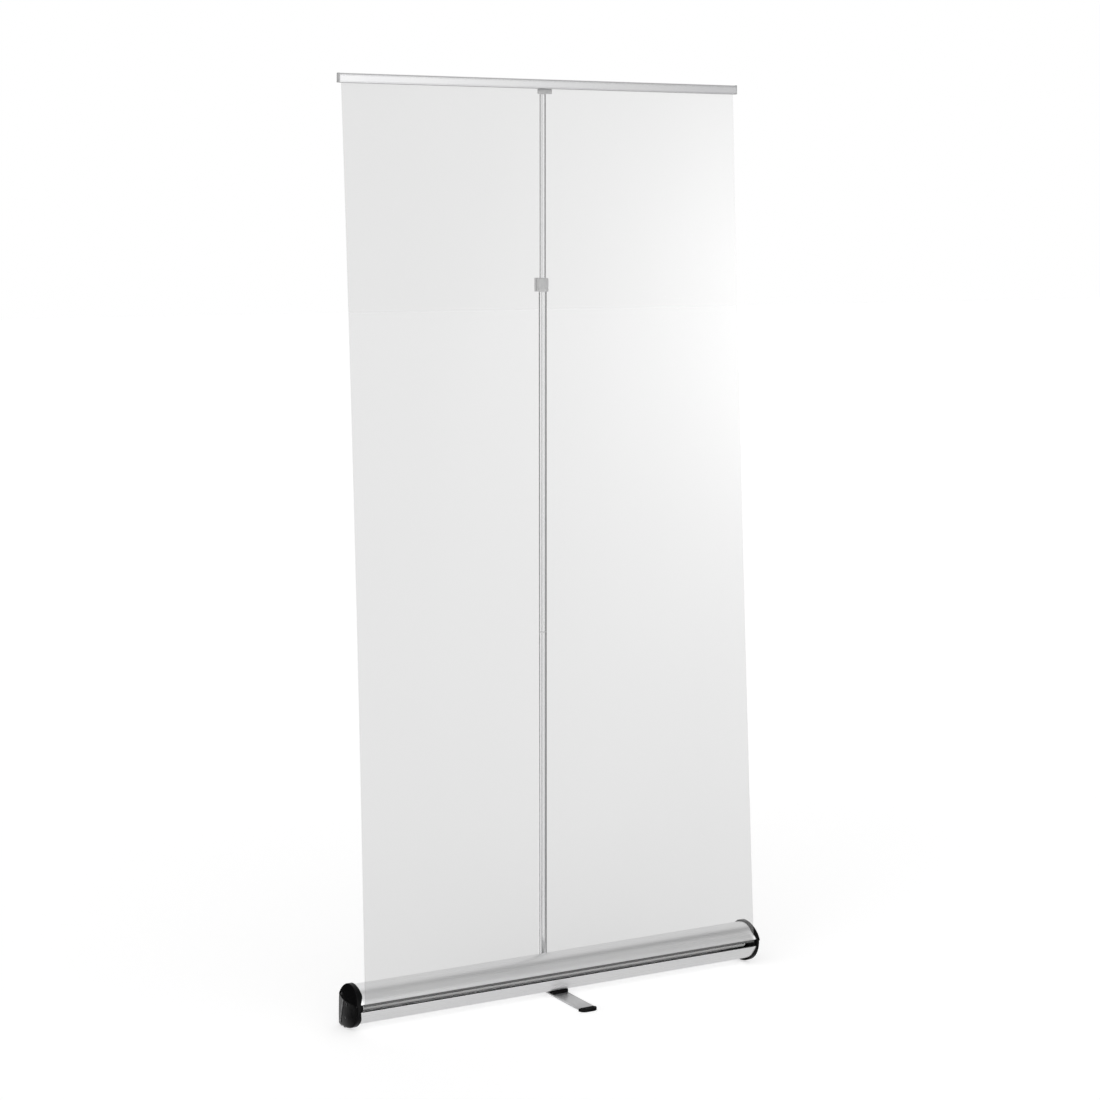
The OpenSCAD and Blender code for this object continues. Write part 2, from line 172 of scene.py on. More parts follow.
def cap_outline(steps=24):
    """The cap's rim (y, z): a domed top, and in front below a plain arc down to the floor."""
    rear = PROFILE_HIGH.y + CAP_GROW
    nose = PROFILE_LOW.y - CAP_GROW
    rise = CAP_HIGH.z - NOSE_Z
    return (
        arc(rear - CAP_REAR_R, CAP_FLOOR + CAP_REAR_R, CAP_REAR_R, CAP_REAR_R, 270, 360, 8)
        + arc(CAP_MID_Y, NOSE_Z, rear - CAP_MID_Y, rise, 0, 90, steps)
        + arc(CAP_MID_Y, NOSE_Z, CAP_MID_Y - nose, rise, 90, 180, steps)[1:]
        + arc(CAP_TOE_Y, NOSE_Z, CAP_TOE_Y - nose, NOSE_Z - CAP_FLOOR, 180, 270, steps)[1:]
    )


def on_section(y, z, grow):
    """Where the line from the section's middle through (y, z) leaves the profile."""
    away = math.hypot(y - MID_Y, z - NOSE_Z)
    c, s = (y - MID_Y) / away, (z - NOSE_Z) / away
    a = MID_Y - PROFILE_LOW.y
    if s >= 0:
        far = 1 / math.hypot(c / a, s / (PROFILE_HIGH.z - NOSE_Z))
    elif c < 0:
        far = 1 / math.hypot(c / a, s / (NOSE_Z - CASE_FLOOR))
    else:
        far = min((PROFILE_HIGH.y - MID_Y) / max(c, 1e-6), (NOSE_Z - CASE_FLOOR) / -s)
    return MID_Y + c * (far + grow), NOSE_Z + s * (far + grow)


# -------------------- meshes

ALONG = {"x": (1, 2, 0), "y": (0, 2, 1), "z": (0, 1, 2)}
JOIN = 1e-6           # metres within which points become one
SHARP = 32            # degrees beyond which an edge is shaded as one
BEVEL_ANGLE = 35      # degrees beyond which an edge is bevelled


def placed(axis, u, v, w):
    """A point from its two section coordinates and its place along an axis."""
    point = [0.0, 0.0, 0.0]
    iu, iv, iw = ALONG[axis]
    point[iu], point[iv], point[iw] = u, v, w
    return tuple(point)


class Shape:
    """Collects closed shells, in millimetres, that become one piece."""

    def __init__(self):
        self.verts = []
        self.faces = []

    def loft(self, rings, cap_start=True, cap_end=True):
        """Quads between closed rings of equally many points, with flat ends."""
        base = len(self.verts)
        count = len(rings[0])
        for ring in rings:
            self.verts += ring
        for i in range(len(rings) - 1):
            for j in range(count):
                k = (j + 1) % count
                low, high = base + i * count, base + (i + 1) * count
                self.faces.append((low + j, low + k, high + k, high + j))
        if cap_start:
            self.faces.append(tuple(base + j for j in reversed(range(count))))
        if cap_end:
            last = base + (len(rings) - 1) * count
            self.faces.append(tuple(last + j for j in range(count)))
        return self

    def prism(self, outline, low, high, axis="z", round_low=0.0, round_high=0.0, steps=4):
        """A convex or smooth outline drawn along an axis, its two ends rounded by quarter circles."""
        turns = [math.pi / 2 * i / steps for i in range(steps)]
        rings = []
        if round_low:
            r = round_low
            rings += [(low + r * (1 - math.cos(t)), -r * (1 - math.sin(t))) for t in turns]
        rings.append((low + round_low, 0.0))
        rings.append((high - round_high, 0.0))
        if round_high:
            r = round_high
            turns = turns[1:] + [math.pi / 2]
            rings += [(high - r * (1 - math.sin(t)), -r * (1 - math.cos(t))) for t in turns]
        return self.loft([[placed(axis, u, v, w) for u, v in (offset(outline, d) if d else outline)]
                          for w, d in rings])

    def turned(self, profile, centre, axis="z", count=64):
        """A closed (radius, place) outline turned about an axis through centre."""
        cu, cv = (centre[i] for i in ALONG[axis][:2])
        rings = []
        for i in range(count):
            a = 2 * math.pi * i / count
            rings.append([placed(axis, cu + r * math.cos(a), cv + r * math.sin(a), w) for r, w in profile])
        return self.loft(rings + rings[:1], cap_start=False, cap_end=False)

    def add(self, other):
        """Takes in another shape's shells."""
        base = len(self.verts)
        self.verts += other.verts
        self.faces += [tuple(base + i for i in face) for face in other.faces]

    def mesh(self, name, solid=True):
        """The shells in metres; those of a solid are joined and face outward."""
        mesh = bpy.data.meshes.new(name)
        mesh.from_pydata([tuple(c * MM for c in v) for v in self.verts], [], self.faces)
        if solid:
            work = bmesh.new()
            work.from_mesh(mesh)
            bmesh.ops.remove_doubles(work, verts=work.verts, dist=JOIN)
            bmesh.ops.recalc_face_normals(work, faces=work.faces)
            work.to_mesh(mesh)
            work.free()
        return mesh

    def make(self, name, material, body, slot, nodes=(), edge=0.0, sharp=SHARP, solid=True):
        """The finished piece, riding on its body and standing for its CAD nodes."""
        mesh = self.mesh(name, solid)
        smooth(mesh, sharp)
        mesh.materials.append(material)
        obj = linked(name, mesh)
        if edge:
            add_bevel(obj, edge)
        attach(obj, body)
        if nodes:
            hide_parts(*nodes)
        return obj


def smooth(mesh, sharp):
    """Smooth shading except along edges sharper than the angle."""
    mesh.update()
    mesh.validate()
    for polygon in mesh.polygons:
        polygon.use_smooth = True
    mesh.set_sharp_from_angle(angle=math.radians(sharp))


def add_bevel(obj, width):
    bevel = obj.modifiers.new("edges", "BEVEL")
    bevel.width = width * MM
    bevel.segments = 2
    bevel.limit_method = "ANGLE"
    bevel.angle_limit = math.radians(BEVEL_ANGLE)
    bevel.harden_normals = True


def linked(name, data):
    """A new object in the scene."""
    obj = bpy.data.objects.new(name, data)
    bpy.context.scene.collection.objects.link(obj)
    return obj


def cut(obj, tool):
    """Cuts a shape out of a piece, for good; the piece's bevel stays live."""
    mesh = tool.mesh("tool")
    cutter = linked("tool", mesh)
    boolean = obj.modifiers.new("cut", "BOOLEAN")
    boolean.operation = "DIFFERENCE"
    boolean.solver = "EXACT"
    boolean.use_self = True
    boolean.object = cutter
    others = [m for m in obj.modifiers if m != boolean]
    for m in others:
        m.show_viewport = False
    graph = bpy.context.evaluated_depsgraph_get()
    result = bpy.data.meshes.new_from_object(obj.evaluated_get(graph))
    for m in others:
        m.show_viewport = True
    obj.modifiers.remove(boolean)
    old = obj.data
    obj.data = result
    result.name = obj.name
    bpy.data.meshes.remove(old)
    bpy.data.objects.remove(cutter)
    bpy.data.meshes.remove(mesh)
    smooth(result, SHARP)


def drill(obj, x, y, radius, low, high, sides=48):
    """Cuts an upright round hole."""
    cut(obj, Shape().prism(circle(x, y, radius, sides), low, high))


CROSS_HALF = 2.2      # a screw's cross: half its length, half its width and its depth
CROSS_WIDE = 0.45
CROSS_DEEP = 1.0


def cross_recess(x, y, z, axis):
    """The cross of a screw's head, centred on a point of its face."""
    tool = Shape()
    iu, iv, iw = ALONG[axis]
    at = (x, y, z)
    u, v, w = at[iu], at[iv], at[iw]
    for a, b in ((CROSS_HALF, CROSS_WIDE), (CROSS_WIDE, CROSS_HALF)):
        outline = [(u - a, v - b), (u + a, v - b), (u + a, v + b), (u - a, v + b)]
        tool.prism(outline, w - CROSS_DEEP, w + CROSS_DEEP, axis)
    return tool


def ring_profile(inner, outer, low, high, edge=0.3):
    """Section of a tube with its four rims broken."""
    return [(inner + edge, low), (outer - edge, low), (outer, low + edge), (outer, high - edge),
            (outer - edge, high), (inner + edge, high), (inner, high - edge), (inner, low + edge)]


def rod_profile(r, low, high, edge):
    """Section of a round rod with its two rims broken."""
    return [(0.0, low), (r - edge, low), (r, low + edge), (r, high - edge), (r - edge, high), (0.0, high)]


# -------------------- materials


class Tree:
    """A node tree, with short calls for the nodes used here."""

    def __init__(self, tree):
        self.nodes, self.links = tree.nodes, tree.links

    def node(self, kind, **values):
        made = self.nodes.new("ShaderNode" + kind)
        for key, value in values.items():
            setattr(made, key, value)
        return made

    def link(self, source, target):
        self.links.new(source, target)

    def remap(self, value, low, high, from_low=0.3, from_high=0.7, kind="LINEAR"):
        """A value's range, by default most of a noise's, stretched to another."""
        made = self.node("MapRange", interpolation_type=kind)
        numbers = {"From Min": from_low, "From Max": from_high, "To Min": low, "To Max": high}
        for key, number in numbers.items():
            made.inputs[key].default_value = number
        self.link(value, made.inputs["Value"])
        return made.outputs["Result"]


class Shader(Tree):
    """A material round one principled shader."""

    def __init__(self, name, colour, metallic=0.0, roughness=0.4, **sockets):
        self.material = bpy.data.materials.new(name)
        self.material.use_nodes = True
        super().__init__(self.material.node_tree)
        self.main = self.nodes["Principled BSDF"]
        self.main.inputs["Base Color"].default_value = (*colour, 1)
        self.main.inputs["Metallic"].default_value = metallic
        self.main.inputs["Roughness"].default_value = roughness
        for socket, value in sockets.items():
            self.main.inputs[socket.replace("_", " ")].default_value = value
        self.coordinates = None

    def place(self):
        """The point's place in its own object."""
        if self.coordinates is None:
            self.coordinates = self.node("TexCoord").outputs["Object"]
        return self.coordinates

    def noise(self, scale=(1, 1, 1), size=1.0, detail=3.0):
        """Noise stretched by a scale along each axis; size is its frequency per metre."""
        mapping = self.node("Mapping")
        mapping.inputs["Scale"].default_value = scale
        self.link(self.place(), mapping.inputs["Vector"])
        made = self.node("TexNoise")
        made.inputs["Scale"].default_value = size
        made.inputs["Detail"].default_value = detail
        made.inputs["Roughness"].default_value = 0.5
        self.link(mapping.outputs["Vector"], made.inputs["Vector"])
        return made.outputs["Fac"]

    def blend(self, value, first, second):
        """Base colour between two colours."""
        made = self.node("Mix", data_type="RGBA")
        made.inputs["A"].default_value = (*first, 1)
        made.inputs["B"].default_value = (*second, 1)
        self.link(value, made.inputs["Factor"])
        self.link(made.outputs["Result"], self.main.inputs["Base Color"])

    def bump(self, value, distance, strength):
        made = self.node("Bump")
        made.inputs["Strength"].default_value = strength
        made.inputs["Distance"].default_value = distance
        self.link(value, made.inputs["Height"])
        self.link(made.outputs["Normal"], self.main.inputs["Normal"])
        return made.outputs["Normal"]


def anodised_along(name, axis, tone, rough):
    """Satin anodised aluminium with fine die lines along one axis."""
    shader = Shader(name, (tone, tone, tone), metallic=0.92, roughness=rough)
    stretch = [900.0, 900.0, 900.0]
    stretch["xyz".index(axis)] = 1.5
    lines = shader.noise(scale=stretch, size=1.0, detail=2.0)
    cloud = shader.noise(size=7.0, detail=2.0)
    shader.link(shader.remap(lines, rough - 0.03, rough + 0.03), shader.main.inputs["Roughness"])
    shader.blend(shader.remap(cloud, 0.0, 1.0), (tone - 0.01, tone - 0.01, tone), (tone + 0.01,) * 3)
    shader.bump(lines, 0.00001, 0.12)
    return shader.material


def gloss_black():
    """Moulded glossy black plastic with a faint orange-peel and rubbed patches."""
    shader = Shader("gloss_black", (0.003, 0.003, 0.0032), roughness=0.1, Specular_IOR_Level=0.07)
    peel = shader.noise(size=420.0, detail=2.0)
    rub = shader.noise(size=45.0, detail=4.0)
    shader.link(shader.remap(rub, 0.08, 0.16), shader.main.inputs["Roughness"])
    shader.bump(peel, 0.00003, 0.2)
    return shader.material


def grey_plastic(name, tone):
    """Fine-grained matt grey moulding."""
    shader = Shader(name, (tone, tone, tone), roughness=0.48)
    grain = shader.noise(size=1800.0, detail=2.0)
    cloud = shader.noise(size=60.0, detail=3.0)
    shader.blend(shader.remap(cloud, 0.0, 1.0), (tone - 0.03, tone - 0.03, tone - 0.025), (tone + 0.03,) * 3)
    shader.link(shader.remap(grain, 0.4, 0.56), shader.main.inputs["Roughness"])
    shader.bump(grain, 0.00004, 0.4)
    return shader.material


def metal(name, tone, low, high):
    """Plated or blackened steel with a faint grain."""
    shader = Shader(name, (tone, tone * 1.01, tone * 1.04), metallic=1.0, roughness=low)
    grain = shader.noise(size=900.0, detail=3.0)
    shader.link(shader.remap(grain, low, high), shader.main.inputs["Roughness"])
    shader.bump(grain, 0.00002, 0.3)
    return shader.material


def black_rubber():
    """Matt rubber with a dusty bloom."""
    shader = Shader("black_rubber", (0.02, 0.02, 0.021), roughness=0.7)
    bloom = shader.noise(size=90.0, detail=4.0)
    grain = shader.noise(size=1500.0, detail=2.0)
    shader.blend(shader.remap(bloom, 0.0, 1.0), (0.014, 0.014, 0.015), (0.032, 0.032, 0.033))
    shader.bump(grain, 0.00005, 0.5)
    return shader.material


def clear_film(name, tint, haze, colour):
    """Clear film: a see-through tint under a thin milky haze and a soft gloss, with painted sheen blotches
    in its colour.
    """
    shader = Shader(name, (colour, colour, colour), roughness=0.3)
    waves_and_painted_sheen = shader.noise(scale=(1.6, 1.0, 0.7), size=2.2, detail=2.0)
    # The wave noise bumps the sheet, which is its real waviness, and also makes its colour lighter and
    # darker in broad blotches, which is painted sheen.
    shader.blend(shader.remap(waves_and_painted_sheen, 0.0, 1.0), (colour - 0.02,) * 3, (colour + 0.02,) * 3)
    normal = shader.bump(waves_and_painted_sheen, 0.004, 0.2)
    through = shader.node("BsdfTransparent")
    through.inputs["Color"].default_value = (tint, tint, tint, 1)
    milky = shader.node("MixShader")
    milky.inputs["Fac"].default_value = haze
    shader.link(through.outputs["BSDF"], milky.inputs[1])
    shader.link(shader.main.outputs["BSDF"], milky.inputs[2])
    gloss = shader.node("BsdfGlossy")
    gloss.inputs["Roughness"].default_value = 0.12
    shader.link(normal, gloss.inputs["Normal"])
    edge = shader.node("Fresnel")
    edge.inputs["IOR"].default_value = 1.22
    coat = shader.node("MixShader")
    shader.link(edge.outputs["Fac"], coat.inputs["Fac"])
    shader.link(milky.outputs["Shader"], coat.inputs[1])
    shader.link(gloss.outputs["BSDF"], coat.inputs[2])
    shader.link(coat.outputs["Shader"], shader.nodes["Material Output"].inputs["Surface"])
    return shader.material


ALUMINIUM_X = anodised_along("anodised_x", "x", 0.95, 0.3)
ALUMINIUM_Y = anodised_along("anodised_y", "y", 0.7, 0.42)
ALUMINIUM_Z = anodised_along("anodised_z", "z", 0.86, 0.2)
ALUMINIUM_RAIL = anodised_along("anodised_rail", "x", 0.62, 0.2)
BLACK = gloss_black()
GREY = grey_plastic("grey_plastic", 0.7)
PLUG_GREY = grey_plastic("plug_grey_plastic", 0.4)
STEEL = metal("plated_steel", 0.62, 0.24, 0.42)
DARK_STEEL = metal("blackened_steel", 0.03, 0.3, 0.45)
RUBBER = black_rubber()
FILM = clear_film("clear_film", 0.759, 0.12, 0.6)
FILM_ROLL = clear_film("film_roll", 0.4, 0.8, 0.45)

# -------------------- cassette


def wall_section():
    """The profile's wall as one closed outline, open at the slot, with round lips."""
    outer = section_outline(0.0, CASE_FLOOR, REAR_R)
    inner = section_outline(-WALL, CASE_FLOOR + WALL, REAR_R - WALL)

    def split(points):
        """Points above the slot, and below it, along the section's own direction."""
        open_here = [i for i, p in enumerate(points) if p[0] < MID_Y and SLOT_LOW < p[1] < SLOT_HIGH]
        return points[:open_here[0]], points[open_here[-1] + 1:]

    def on_wall(grow, z, lower):
        a = MID_Y - PROFILE_LOW.y + grow
        b = (NOSE_Z - CASE_FLOOR if lower else PROFILE_HIGH.z - NOSE_Z) + grow
        return MID_Y - a * math.sqrt(1 - ((z - NOSE_Z) / b) ** 2)

    outer_top, outer_low = split(outer)
    inner_top, inner_low = split(inner)
    lip = WALL / 2
    top_mid = (on_wall(0, SLOT_HIGH, False) + on_wall(-WALL, SLOT_HIGH, False)) / 2
    low_mid = (on_wall(0, SLOT_LOW, True) + on_wall(-WALL, SLOT_LOW, True)) / 2
    top_lip = arc(top_mid, SLOT_HIGH + lip, lip, lip, 180, 360, 6)
    low_lip = arc(low_mid, SLOT_LOW - lip, lip, lip, 0, 180, 6)
    return outer_top + top_lip + inner_top[::-1] + inner_low[::-1] + low_lip + outer_low


def cassette():
    shell = Shape().prism(wall_section(), -HALF_CASE, HALF_CASE, "x")
    shell.make("cassette_shell", ALUMINIUM_X, "cassette", "anodised", ["cassette_profile"], edge=0.25)
    half = box_mm("slot_guide_strip")[1].x
    for name, turn in (("slot_guide_strip", 1), ("slot_edge_strip", -1)):
        slot_strip(name, turn, half)


def slot_strip(name, turn, half):
    """Soft L-section inside one of the slot's lips; turn is 1 for the upper lip and -1 for the lower."""
    low, high = box_mm(name)
    edge, far = (low.z, high.z) if turn > 0 else (high.z, low.z)
    outline = arc(low.y + 0.7, edge + turn * 0.7, 0.7, turn * 0.7, 90, 270, 8)
    outline += arc(high.y - 0.8, edge + turn * 0.8, 0.8, turn * 0.8, 270, 360, 5)
    outline += [(high.y, far), (high.y - 1.4, far)]
    outline += [(high.y - 1.7, edge + turn * 1.9), (high.y - 2.1, edge + turn * 1.4)]
    strip = Shape().prism(outline, -half, half, "x")
    strip.make(name + "_moulding", RUBBER, "cassette", "rubber", [name])


# -------------------- end caps

RIM = 3.2             # radius of the cap's outer edge
RIDGE_TOP = (20.0, 60.0)
RIDGE_FOOT = (35.0, 10.0)
RIDGE = (Vector(RIDGE_FOOT) - Vector(RIDGE_TOP)).normalized()
BEAD_HALF = 0.9       # half the width of the bead along the ridge
BROW_REAR = (48.0, 69.0)
BROW_MID = (20.0, 60.5)
BROW_STEP = 0.8


def brow_z(y):
    """Height of the lower edge of the cap's upper dome."""
    if y <= BROW_MID[0]:
        return BROW_MID[1]
    share = (y - BROW_MID[0]) / (BROW_REAR[0] - BROW_MID[0])
    return BROW_MID[1] + share * (BROW_REAR[1] - BROW_MID[1])


def from_ridge(y, z):
    """Signed distance in front of the ridge that runs down the lower panel."""
    return (y - RIDGE_TOP[0]) * RIDGE.y - (z - RIDGE_TOP[1]) * RIDGE.x


def cap_height(y, z):
    """How far the cap's outer face stands out, at a point of its outline plane."""
    front = max(0.0, 14.0 - y)
    if z > brow_z(y) + BROW_STEP / 2:
        up = z - BROW_MID[1]
        dome = 1.5 - 0.14 * up - 0.0012 * up * up - 0.02 * front - 0.0004 * front * front
        return max(-5.4, dome)
    u = from_ridge(y, z)
    down = max(0.0, 30.0 - z)
    bead = 0.45 * max(0.0, 1 - abs(u) / BEAD_HALF)
    ahead, behind = max(0.0, u), max(0.0, -u)
    return 0.7 + bead - 0.05 * behind - 0.03 * ahead - 0.0006 * ahead * ahead - 0.001 * down * down


def slice_mesh(work, point, normal):
    """Cuts every face along a line of the (y, z) plane."""
    geometry = work.verts[:] + work.edges[:] + work.faces[:]
    place = {"plane_co": (0, *point), "plane_no": (0, *normal)}
    bmesh.ops.bisect_plane(work, geom=geometry, dist=1e-4, **place)


def cap_face(outline):
    """The outer face as vertices, polygons and its border loop, cut fine enough to be shaped."""
    work = bmesh.new()
    work.faces.new([work.verts.new((0, y, z)) for y, z in outline])
    for z in range(6, 100, 4):
        slice_mesh(work, (0, z), (0, 1))
    for y in range(-45, 48, 5):
        slice_mesh(work, (y, 0), (1, 0))
    across = (-RIDGE.y, RIDGE.x)
    for shift in (-BEAD_HALF, 0.0, BEAD_HALF):
        slice_mesh(work, (RIDGE_TOP[0] + across[0] * shift, RIDGE_TOP[1] + across[1] * shift), across)
    brow = (Vector(BROW_REAR) - Vector(BROW_MID)).normalized()
    for shift in (0.0, BROW_STEP):
        slice_mesh(work, (BROW_MID[0], BROW_MID[1] + shift), (-brow.y, brow.x))
        slice_mesh(work, (0, BROW_MID[1] + shift), (0, 1))
    border = [e for e in work.edges if len(e.link_faces) == 1]
    start = border[0].verts[0]
    loop, edge, here = [start], border[0], border[0].verts[1]
    while here != start:
        loop.append(here)
        edge = next(e for e in here.link_edges if len(e.link_faces) == 1 and e != edge)
        here = edge.other_vert(here)
    work.verts.index_update()
    verts = [(v.co.y, v.co.z) for v in work.verts]
    faces = [tuple(v.index for v in f.verts) for f in work.faces]
    loop = [v.index for v in loop]
    work.free()
    pairs = [(verts[a], verts[b]) for a, b in zip(loop, loop[1:] + loop[:1])]
    area = sum(a[0] * b[1] - b[0] * a[1] for a, b in pairs)
    return verts, faces, loop if area > 0 else loop[::-1]


def wrap_reach(up):
    """How far the rim reaches over the profile: less beside the slot, and less below it than above."""
    share = min(1.0, max(0.0, (abs(up) - 9.0) / 20.0))
    return 0.8 + (7.4 if up > 0 else 4.0) * share * share * (3 - 2 * share)


def end_cap(side, name, node):
    """A cap closed at the profile's end: sculpted outer face, round rim, web, flange and overlap."""
    flat, faces, loop = cap_face(offset(cap_outline(), -RIM))
    shape = Shape()
    shape.verts = [(HALF_STAND + cap_height(y, z), y, z) for y, z in flat]
    shape.faces = list(faces)
    border = [flat[i] for i in loop]
    top = [HALF_STAND + cap_height(y, z) for y, z in border]
    rings = []
    steps = 6
    for i in range(steps + 1):
        t = math.pi / 2 * i / steps
        ring = offset(border, RIM * math.sin(t)) if i else border
        rings.append([(x - RIM * (1 - math.cos(t)), y, z) for x, (y, z) in zip(top, ring)])
    full = offset(border, RIM)
    for x, out in ((HALF_CASE + 0.4, RIM), (HALF_CASE, RIM - 0.4)):
        rings.append([(x, y, z) for y, z in (full if out == RIM else offset(border, out))])
    shape.loft(rings, cap_start=False)
    plug = section_outline(-WALL - 0.15, CASE_FLOOR + WALL + 0.15, REAR_R - WALL)
    lining = section_outline(-WALL - 2.4, CASE_FLOOR + WALL + 2.4, 2.0)
    shape.loft([[(x, y, z) for y, z in line] for x, line in (
        (HALF_CASE + 0.5, plug), (HALF_CASE - 6.6, plug), (HALF_CASE - 7.0, offset(plug, -0.4)),
        (HALF_CASE - 7.0, lining), (HALF_CASE - 5.0, lining))])
    outer = cap_outline()
    inner = [on_section(y, z, 0.08) for y, z in outer]
    shorter = offset(outer, -0.7)
    mouth = (SLOT_LOW + SLOT_HIGH) / 2
    reach = [wrap_reach(z - mouth) for y, z in outer]
    ring = [[(HALF_CASE + 0.5, y, z) for y, z in outer],
            [(HALF_CASE - w + 0.7, y, z) for w, (y, z) in zip(reach, outer)],
            [(HALF_CASE - w, y, z) for w, (y, z) in zip(reach, shorter)],
            [(HALF_CASE - w, y, z) for w, (y, z) in zip(reach, inner)],
            [(HALF_CASE + 0.5, y, z) for y, z in inner]]
    shape.loft(ring + [ring[0]], cap_start=False, cap_end=False)
    button = [(0.0, -3.0), (5.0, -3.0), (5.0, 0.4), (4.4, 0.9), (3.4, 0.9), (2.9, 0.3), (0.0, 0.1)]
    shape.turned([(r, HALF_STAND + x) for r, x in button], (0, ROLLER_Y, ROLLER_Z), "x", count=32)
    shape.verts = [(side * x, y, z) for x, y, z in shape.verts]
    shape.make(name, BLACK, "cassette", "black", [node], sharp=38)


def cap_screws():
    """Blackened pan-head screws, seated in both caps' outer faces."""
    shape, crosses = Shape(), Shape()
    profile = [(0.0, -12), (1.9, -12), (1.9, -2.2), (3.6, -2.0), (3.6, -1.2), (3.3, -0.6),
               (2.4, -0.15), (1.2, 0.0), (0.0, 0.0)]
    for side in (-1, 1):
        for y, z in SCREWS:
            out = HALF_STAND + cap_height(y, z) + 0.7
            shape.turned([(r, side * (out + x)) for r, x in profile], (0, y, z), "x", count=32)
            crosses.add(cross_recess(side * out, y, z, "x"))
    cut(shape.make("cap_screws", DARK_STEEL, "cassette", "steel", ["end_cap_screws"]), crosses)


def floor_pads():
    top = box_mm("floor_pads")[1].z
    shape = Shape()
    profile = [(0.0, 0.25), (1.6, 0.25), (2.0, 0.0), (3.4, 0.0), (3.95, 0.5), (3.95, top), (0.0, top)]
    for side in (-1, 1):
        for y in PAD_Y:
            shape.turned(profile, (side * (HALF_CASE + HALF_STAND) / 2, y, 0), "z", count=40)
    shape.make("floor_pads_soft", RUBBER, "cassette", "rubber", ["floor_pads"])


# -------------------- roller


def roller():
    """The roller with its plugs, the spring on its shaft and the film that is left on it."""
    centre = (0, ROLLER_Y, ROLLER_Z)
    low, high = box_mm("roller_tube")
    radius = high.z - ROLLER_Z
    Shape().turned(ring_profile(radius - 1.5, radius, low.x, high.x), centre, "x").make(
        "roller_barrel", ALUMINIUM_X, "roller", "anodised", ["roller_tube"])
    for side, node in ((-1, "roller_plug_left"), (1, "roller_plug_right")):
        end = side * (high.x + 2.0)
        bore = 4.1
        profile = [(bore, 0.0), (radius - 0.5, 0.0), (radius, 0.5), (radius, 2.0), (radius - 1.6, 2.0),
                   (radius - 1.6, 29.0), (radius - 2.4, 30.0), (bore, 30.0)]
        plug = Shape().turned([(r, end - side * depth) for r, depth in profile], centre, "x")
        plug.make(node + "_moulding", BLACK, "roller", "black", [node])
    rings = []
    layers = 12
    for i in range(layers + 1):
        r = radius + 0.05 + (ROLL_R - radius - 0.05) * i / layers
        rings.append((r, HALF_FILM - (0.5 if i % 2 else 0.0)))
    profile = rings + [(r, -x) for r, x in reversed(rings)]
    roll = Shape().turned(profile, centre, "x", count=96)
    roll.make("film_on_roller", FILM_ROLL, "roller", "film", ["film_roll"])
    for node, name in (("spring_shaft", "shaft_of_spring"), ("idler_pin", "pin_of_idler")):
        low, high = box_mm(node)
        r = high.z - ROLLER_Z
        pin = Shape().turned(rod_profile(r, low.x, high.x, 0.6), centre, "x", count=40)
        pin.make(name, STEEL, "cassette", "steel", [node])
    torsion_spring()


def torsion_spring():
    low, high = box_mm("torsion_spring")
    wire, coil, turns, per_turn, sides = 1.2, 9.0, 12, 40, 10
    pitch = (high.x - low.x - 2 * wire) / turns
    rings = []
    for i in range(turns * per_turn + 1):
        t = 2 * math.pi * i / per_turn
        x = low.x + wire + pitch * i / per_turn
        ring = []
        for j in range(sides):
            a = 2 * math.pi * j / sides
            r = coil + wire * math.cos(a)
            ring.append((x + wire * math.sin(a), ROLLER_Y + r * math.cos(t), ROLLER_Z + r * math.sin(t)))
        rings.append(ring)
    Shape().loft(rings).make("spring_wire", STEEL, "cassette", "steel", ["torsion_spring"])


# -------------------- film

BOW_LEFT = 4.5        # how far the stretched sheet's edges draw in at mid-height
BOW_RIGHT = 3.0


def film_sheet():
    """The stretched sheet from the slot's lip to inside the clamp rail, waisted a little."""
    rail_low = FRONT_LOW.z
    path = []
    rows = 120
    for i in range(rows + 1):
        t = i / rows
        path.append((LIP_Y + (RAIL_Y - LIP_Y) * t, LIP_Z + (rail_low - LIP_Z) * t, t))
    path += [(RAIL_Y, rail_low + (FILM_HIGH.z - rail_low) * s, 1.0) for s in (0.5, 1.0)]
    columns = 40
    verts, faces = [], []
    for y, z, t in path:
        waist = math.sin(math.pi * t) ** 0.8 if 0 < t < 1 else 0.0
        left, right = -HALF_FILM + BOW_LEFT * waist, HALF_FILM - BOW_RIGHT * waist
        for j in range(columns + 1):
            s = j / columns
            sway = 0.9 * waist * math.sin(math.pi * s) * math.sin(2 * math.pi * (1.5 * s + 0.8 * t))
            verts.append((left + (right - left) * s, y + sway, z))
    width = columns + 1
    for i in range(len(path) - 1):
        for j in range(columns):
            a = i * width + j
            faces.append((a, a + 1, a + 1 + width, a + width))
    shape = Shape()
    shape.verts, shape.faces = verts, faces
    obj = shape.make("film_sheet", FILM, "cassette", "film", ["film"], solid=False)
    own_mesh(obj)
    return obj


